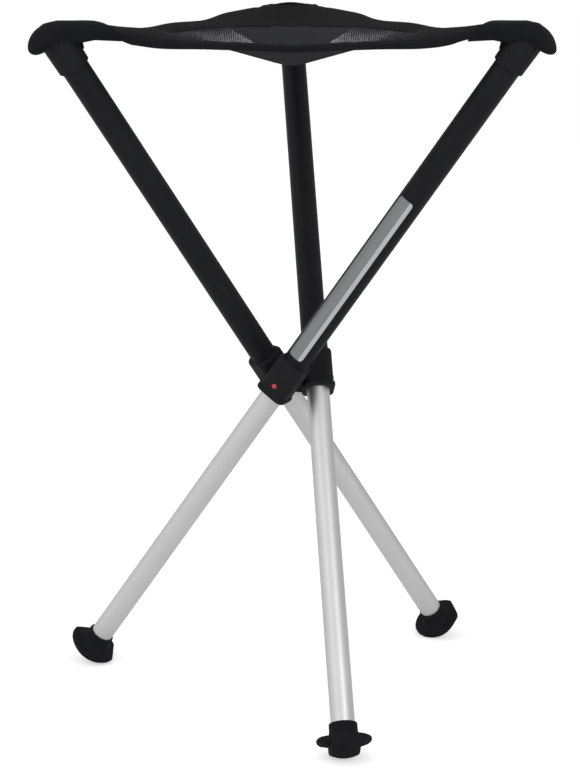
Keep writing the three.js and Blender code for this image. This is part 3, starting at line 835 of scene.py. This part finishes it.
def in_plan(u, v, z, n):
    turn = corner_azimuth[n]
    return (hub_place.x + (u * math.cos(turn) - v * math.sin(turn)) * mm,
            hub_place.y + (u * math.sin(turn) + v * math.cos(turn)) * mm, z * mm)


def hem_place(c, d, n):
    """A place on the hem: c runs from edge middle (-1) by the corner (0) to edge middle (1),
    and d is the depth in mm."""
    side, c = math.copysign(1, c), abs(c)
    deep = d / hem_width
    if c < corner_share:
        k = c / corner_share
        outer, inner = (corner_reach, corner_cut * k), (net_cut, net_cut_half * k)
        at_edge = 0.0
    else:
        k = (1 - c) / (1 - corner_share)
        outer, inner = edge_line(k), edge_line(k, hem_width, net_edge_half)
        at_edge = min(1.0, (1 - k) * roll_ease)
    u = outer[0] + (inner[0] - outer[0]) * deep
    v = side * (outer[1] + (inner[1] - outer[1]) * deep)
    front = (n == 1 and side > 0) or (n == 2 and side < 0)
    roll = (roll_near if front else roll_far) * max(0.0, 1 - d / roll_depth) ** 2 * at_edge
    fade = math.exp(-((corner_reach - u) / crease_reach) ** 2)
    crease = crease_height * math.sin(v * crease_rate) * fade
    return u, v, float(seat_height(u, v, n)) - roll + crease


def grid_of(columns, rows):
    """A flat grid, with each corner's column and row as whole numbers in its place."""
    bpy.ops.object.select_all(action="DESELECT")
    bpy.ops.mesh.primitive_grid_add(x_subdivisions=columns, y_subdivisions=rows, size=2)
    obj = bpy.context.object
    for corner in obj.data.vertices:
        corner.co = (round((corner.co.x + 1) / 2 * columns), round((corner.co.y + 1) / 2 * rows), 0)
    return obj


def threads(obj, width, length):
    """The cloth's own UV map, in metres along and across it, from its columns and rows."""
    layer = obj.data.uv_layers.new(name="cloth")
    for loop in obj.data.loops:
        x, y, _ = obj.data.vertices[loop.vertex_index].co
        layer.data[loop.index].uv = (x * width, y * length)


hem_pieces, stitch_pieces, net_pieces = {}, {}, {}
for n in (1, 2, 3):
    hem = grid_of(hem_columns, hem_rows)
    threads(hem, hem_run / hem_columns, hem_width * mm / hem_rows)
    for corner in hem.data.vertices:
        c = corner.co.x / hem_columns * 2 - 1
        d = hem_width * (corner.co.y / hem_rows) ** hem_crowding
        corner.co = in_plan(*hem_place(c, d, n), n)
    thickened(faces_out(hem), hem_cloth * mm, 0.0)
    bevelled(hem, 0.5 * mm, 2, 60)
    smooth(hem, 50)
    hem.name = f"seat_hem_{n}"
    hem.data.materials.append(canvas)
    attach(hem, f"upper_leg_{n}")
    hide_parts("seat_border")
    hem_pieces[n] = hem

# Stitching: three rows of lockstitch in black polyester thread hold the hem and the net.
# Drawn a little thick, so that the rows show.
stitch_pitch = 3.8
stitch_length = 2.7
stitch_width = 0.6
stitch_proud = 0.55
stitch_rows = (4.5, 26.0, 29.0)
stitch_end = 0.995
stitch_probe = 0.004

# Polyester thread: twisted and a little shiny, so the rows stand out from the dull cloth.
thread_black, tree, shader = new_material("black_polyester_thread", {
    "Roughness": 0.6, "Specular IOR Level": 0.15})
place = add(tree, "ShaderNodeTexCoord")
twist = add(tree, "ShaderNodeTexNoise", {
    "Vector": place.outputs["Object"], "Scale": 1 / (0.3 * mm), "Detail": 2.0})
dress(tree, shader, twist.outputs["Fac"], ("#1c1d1e", "#2b2c2d"))

bpy.ops.object.select_all(action="DESELECT")
bpy.ops.mesh.primitive_cube_add(
    size=1, scale=(stitch_length * mm, stitch_width * mm, (hem_cloth + stitch_proud) * mm))
stitch = bpy.context.object
bpy.ops.object.transform_apply(location=True, rotation=True, scale=True)
bevelled(stitch, 0.22 * mm, 1, 30)
for n in (1, 2, 3):
    sewn = []
    for depth in stitch_rows:
        c = -stitch_end
        while c < stitch_end:
            here, ahead, beside = (
                Vector(in_plan(*hem_place(k, d, n), n))
                for k, d in ((c, depth), (c + stitch_probe, depth), (c, depth + 1)))
            way, side = (ahead - here).normalized(), (beside - here).normalized()
            up = way.cross(side).normalized()
            side = up.cross(way)
            copy = stitch.copy()
            copy.data = stitch.data.copy()
            bpy.context.collection.objects.link(copy)
            turn = Matrix((way, side, up)).transposed().to_4x4()
            placed(copy, Matrix.Translation(here) @ turn)
            sewn.append(copy)
            c += stitch_probe * stitch_pitch * mm / max((ahead - here).length, 1e-6)
    bpy.ops.object.select_all(action="DESELECT")
    for copy in sewn:
        copy.select_set(True)
    bpy.context.view_layer.objects.active = sewn[0]
    bpy.ops.object.join()
    row = bpy.context.object
    smooth(row, 40)
    row.name = f"hem_stitching_{n}"
    row.data.materials.append(thread_black)
    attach(row, f"upper_leg_{n}")
    stitch_pieces[n] = row
bpy.data.objects.remove(stitch)

# Seat net: black knitted polyester, open enough to see through, sewn into the hem. Its
# strands are modelled, and drawn thicker than real ones so that they show.
net_side = 2.3
net_strand = 0.85
net_thickness = 0.8
net_tuck = 6.0
net_cells = 124

# Knitted yarn: fuzzy and greyer than the canvas, because light gets in between its fibres.
net_yarn, tree, shader = new_material("black_knitted_polyester_net", {
    "Roughness": 0.6, "Specular IOR Level": 0.05, "Sheen Weight": 0.03, "Sheen Roughness": 0.4})
place = add(tree, "ShaderNodeTexCoord")
fuzz = add(tree, "ShaderNodeTexNoise", {
    "Vector": place.outputs["Object"], "Scale": 1 / (0.5 * mm), "Detail": 3.0})
dress(tree, shader, fuzz.outputs["Fac"], ("#2c2d30", "#3b3c3f"), fuzz.outputs["Fac"],
      relief=(0.4, 0.1 * mm))


def in_corner(x, y, n):
    """The plan place (metres) in corner n's own u and v, in mm."""
    turn = corner_azimuth[n]
    x, y = (np.asarray(x) - hub_place.x) / mm, (np.asarray(y) - hub_place.y) / mm
    return x * math.cos(turn) + y * math.sin(turn), -x * math.sin(turn) + y * math.cos(turn)


def nearest_corner(x, y):
    reach = np.stack([in_corner(x, y, n)[0] for n in (1, 2, 3)])
    return reach.argmax(axis=0) + 1


def inside_net(u, v):
    """Whether a place lies on the net, which is tucked under the hem all round."""
    v = np.abs(v)
    out, along = u * cos60 + v * sin60, u * sin60 - v * cos60
    return (out < edge_out(along) - hem_width + net_tuck) & (u < net_cut + net_tuck)


bpy.ops.object.select_all(action="DESELECT")
bpy.ops.mesh.primitive_grid_add(x_subdivisions=net_cells, y_subdivisions=net_cells,
                                size=net_cells * net_side * mm, rotation=(0, 0, math.pi / 4))
net = bpy.context.object
bpy.ops.object.transform_apply(location=True, rotation=True, scale=True)
placed(net, Matrix.Translation((hub_place.x, hub_place.y, 0)))
centres = np.array([face.center[:] for face in net.data.polygons])
corner_of = nearest_corner(centres[:, 0], centres[:, 1])
keep = np.zeros(len(centres), bool)
for n in (1, 2, 3):
    u, v = in_corner(centres[:, 0], centres[:, 1], n)
    keep |= (corner_of == n) & inside_net(u, v)
sector = net.data.attributes.new("sector", "INT", "FACE")
sector.data.foreach_set("value", np.where(keep, corner_of, 0).astype("i"))
for n in (1, 2, 3):
    part = net.copy()
    part.data = net.data.copy()
    bpy.context.collection.objects.link(part)
    only(part)
    bpy.ops.object.mode_set(mode="EDIT")
    bpy.ops.mesh.select_mode(type="FACE")
    bpy.ops.mesh.select_all(action="DESELECT")
    mesh = bmesh.from_edit_mesh(part.data)
    layer = mesh.faces.layers.int["sector"]
    for face in mesh.faces:
        face.select_set(face[layer] != n)
    bmesh.update_edit_mesh(part.data)
    bpy.ops.mesh.delete(type="FACE")
    bpy.ops.object.mode_set(mode="OBJECT")
    strands = part.modifiers.new("strands", "WIREFRAME")
    strands.thickness = net_strand * mm
    strands.use_even_offset = True
    strands.use_replace = True
    bpy.ops.object.modifier_apply(modifier=strands.name)
    points = np.empty(len(part.data.vertices) * 3)
    part.data.vertices.foreach_get("co", points)
    points = points.reshape(-1, 3)
    own = nearest_corner(points[:, 0], points[:, 1])
    height = np.empty(len(points))
    for k in (1, 2, 3):
        mine = own == k
        u, v = in_corner(points[mine, 0], points[mine, 1], k)
        height[mine] = seat_height(u, v, k)
    points[:, 2] = points[:, 2] * net_thickness / net_strand + height * mm
    part.data.vertices.foreach_set("co", points.ravel())
    part.data.update()
    part.data.attributes.remove(part.data.attributes["sector"])
    smooth(part, 60)
    part.name = f"seat_net_knit_{n}"
    part.data.materials.append(net_yarn)
    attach(part, f"upper_leg_{n}")
    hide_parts("seat_net")
    net_pieces[n] = part
bpy.data.objects.remove(net)

# Each third of the seat, with its hem, stitching and net, gets a mesh of its own.
for n in (1, 2, 3):
    for piece in (hem_pieces[n], stitch_pieces[n], net_pieces[n]):
        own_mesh(piece)

# Label: a bare film of satin silver polyester on the front of one upper tube. Its corners
# are rounded, and nothing is printed on it.
label_low = 34.0
label_high = 223.0
label_from = math.radians(-45)
label_to = math.radians(32)
# Where the painted highlight strip starts, across the leg frame.
highlight_strip_from = 3.0 * mm
label_corner = 3.0
label_film = 0.12
label_gap = 0.02 * mm
label_columns = 24
label_rows = 60

# Metallised film: mid grey with a soft sheen and faint lines along its length.
film, tree, shader = new_material("satin_silver_polyester_film", {
    "Metallic": 0.35, "Roughness": 0.42})
spot = add(tree, "ShaderNodeAttribute", attribute_name="in_leg")
brushed = add(tree, "ShaderNodeMapping", {
    "Vector": spot.outputs["Vector"], "Scale": (1 / (0.6 * mm), 1 / (0.6 * mm), 1 / (25 * mm))})
grain = add(tree, "ShaderNodeTexNoise", {
    "Vector": brushed.outputs[0], "Scale": 1.0, "Detail": 3.0})
tint = add(tree, "ShaderNodeMix", {
    0: grain.outputs["Fac"], 6: linear("#77797b"), 7: linear("#9a9b9c")}, data_type="RGBA")
# A painted highlight: a brighter strip runs along the label's right side, where the round tube
# would catch the light.
side = add(tree, "ShaderNodeSeparateXYZ", {"Vector": spot.outputs["Vector"]})
painted_highlight = add(tree, "ShaderNodeMath", {0: side.outputs["X"], 1: highlight_strip_from},
             operation="GREATER_THAN")
tint = add(tree, "ShaderNodeMix", {
    0: painted_highlight.outputs[0], 6: tint.outputs[2], 7: linear("#c6c7c8")}, data_type="RGBA")
tree.links.new(tint.outputs[2], shader.inputs["Base Color"])

label = grid_of(label_columns, label_rows)
half_width = tube_radius / mm * (label_to - label_from) / 2
half_length = (label_high - label_low) / 2
for corner in label.data.vertices:
    x = (corner.co.x / label_columns * 2 - 1) * half_width
    z = (corner.co.y / label_rows * 2 - 1) * half_length
    dx, dz = abs(x) - (half_width - label_corner), abs(z) - (half_length - label_corner)
    if dx > 0 and dz > 0:
        k = max(dx, dz) / math.hypot(dx, dz)
        x = math.copysign(half_width - label_corner + dx * k, x)
        z = math.copysign(half_length - label_corner + dz * k, z)
    turn = (label_from + label_to) / 2 + x / (tube_radius / mm)
    out = tube_radius + label_gap
    corner.co = (out * math.sin(turn), -out * math.cos(turn),
                 ((label_low + label_high) / 2 + z) * mm)
faces_out(label)
# An open sheet has no inside, so its faces are turned away from the tube's axis.
first = label.data.polygons[0]
if first.normal.dot(first.center * Vector((1, 1, 0))) < 0:
    label.data.flip_normals()
thickened(label, label_film * mm, 1.0)
smooth(label, 40)
keep_places(label)
placed(label, legs[2])
label.name = "label_film_blank"
label.data.materials.append(film)
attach(label, "upper_leg_2")

# Steel parts and plugs that keep their solids: bright zinc plate on the screw, nut, pins
# and springs, which gives a cool, slightly mottled shine, and nylon on the plugs.
zinc, tree, shader = new_material("bright_zinc_plated_steel", {"Metallic": 1.0})
place = add(tree, "ShaderNodeTexCoord")
spangle = add(tree, "ShaderNodeTexNoise", {
    "Vector": place.outputs["Object"], "Scale": 1 / (1.5 * mm), "Detail": 3.0})
dress(tree, shader, spangle.outputs["Fac"], ("#a9adb0", "#c4c7c9"), spangle.outputs["Fac"],
      gloss=(0.25, 0.42))
steel_nodes = ["hub_screw", "hub_nut"]
steel_nodes += [f"{kind}_{n}" for kind in ("head_pin", "lock_spring") for n in (1, 2, 3)]
for name in steel_nodes + [f"top_plug_{n}" for n in (1, 2, 3)]:
    node = frame["nodes"][name]
    node.data.materials.clear()
    node.data.materials.append(zinc if name in steel_nodes else nylon)
